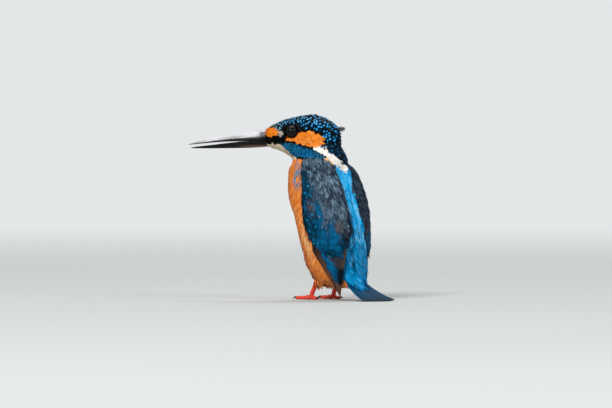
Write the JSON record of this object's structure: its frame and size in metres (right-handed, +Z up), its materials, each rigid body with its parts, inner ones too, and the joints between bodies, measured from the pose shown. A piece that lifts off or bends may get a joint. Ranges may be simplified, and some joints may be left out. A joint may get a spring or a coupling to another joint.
{
  "type": "kingfisher, adult, still model",
  "caption": "Life-size small kingfisher standing upright, head turned over its left shoulder, long dagger bill slightly open, tail resting on the ground.",
  "frame": {"origin": "on the floor, under the middle of the whole bird's box", "axes": "+Z up, -Y the way the breast faces, +X towards the bird's left side"},
  "size_m": [0.073, 0.0962, 0.0967],
  "materials": {
    "crown_feathers": "dark navy head feathers with small azure spots",
    "neck_feathers": "blue malar and neck feathers with a white neck patch",
    "breast_feathers": "orange breast and flanks, bright azure back and rump",
    "wing_coverts": "slate and teal wing coverts with azure spots",
    "flight_feathers": "dark teal flight feathers with brown edges",
    "tail_feathers": "deep blue tail feathers",
    "bill_horn": "black horn with a pale sheen",
    "eye": "dark brown, wet gloss",
    "leg_skin": "scaled orange-red skin with dark claws"
  },
  "bodies": {
    "root": {"head": "crown_feathers", "neck": "neck_feathers", "trunk": "breast_feathers", "upper_bill": "bill_horn", "lower_bill": "bill_horn", "eye_left": "eye", "eye_right": "eye", "wing_left": "wing_coverts", "wing_right": "wing_coverts", "flight_left": "flight_feathers", "flight_right": "flight_feathers", "tail": "tail_feathers", "leg_left": "leg_skin", "leg_right": "leg_skin", "foot_left": "leg_skin", "foot_right": "leg_skin"}
  },
  "joints": []
}
